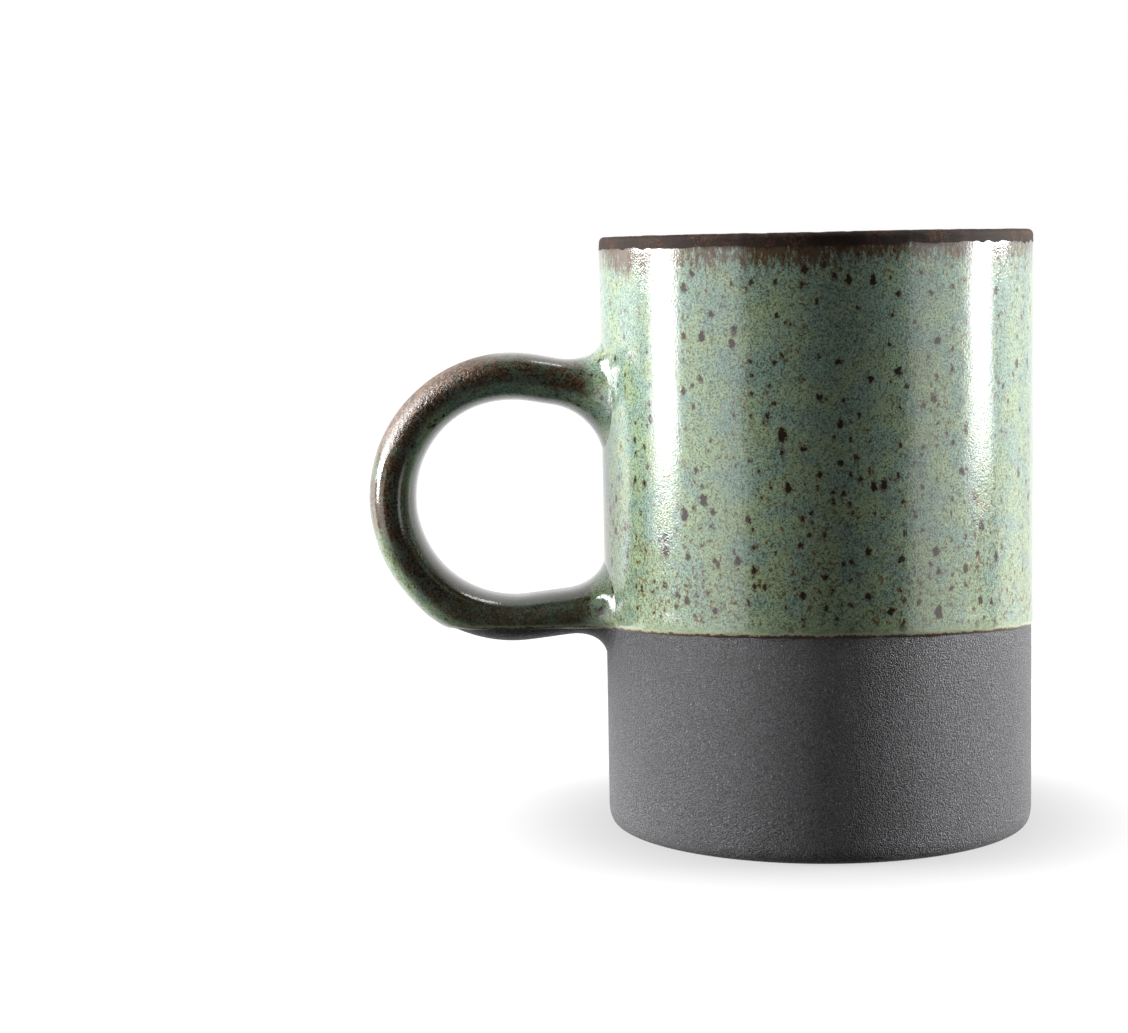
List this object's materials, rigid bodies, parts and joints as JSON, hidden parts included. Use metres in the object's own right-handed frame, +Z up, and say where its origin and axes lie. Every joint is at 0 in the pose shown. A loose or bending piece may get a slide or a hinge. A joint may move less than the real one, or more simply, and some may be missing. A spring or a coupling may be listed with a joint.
{
  "type": "ceramic mug",
  "caption": "Straight-sided stoneware mug with a round strap handle, green speckled glaze above a tilted dip line and bare dark clay below.",
  "frame": {"origin": "centre of the flat underside, on the mug's axis", "axes": "+Z up along the mug's axis, the handle points along -X, +Y completes the right-handed frame"},
  "size_m": [0.1241, 0.0804, 0.11],
  "materials": {
    "bare_clay": "matt, sandy, charcoal stoneware",
    "glaze": "glossy speckled sage green, breaking to rusty brown at edges"
  },
  "bodies": {
    "root": {"wall": "bare_clay", "base_disc": "bare_clay", "floor_coil": "bare_clay", "handle": "bare_clay", "handle_joint_upper": "bare_clay", "handle_joint_lower": "bare_clay", "glaze_exterior": "glaze", "glaze_interior": "glaze", "glaze_handle": "glaze"}
  },
  "joints": []
}
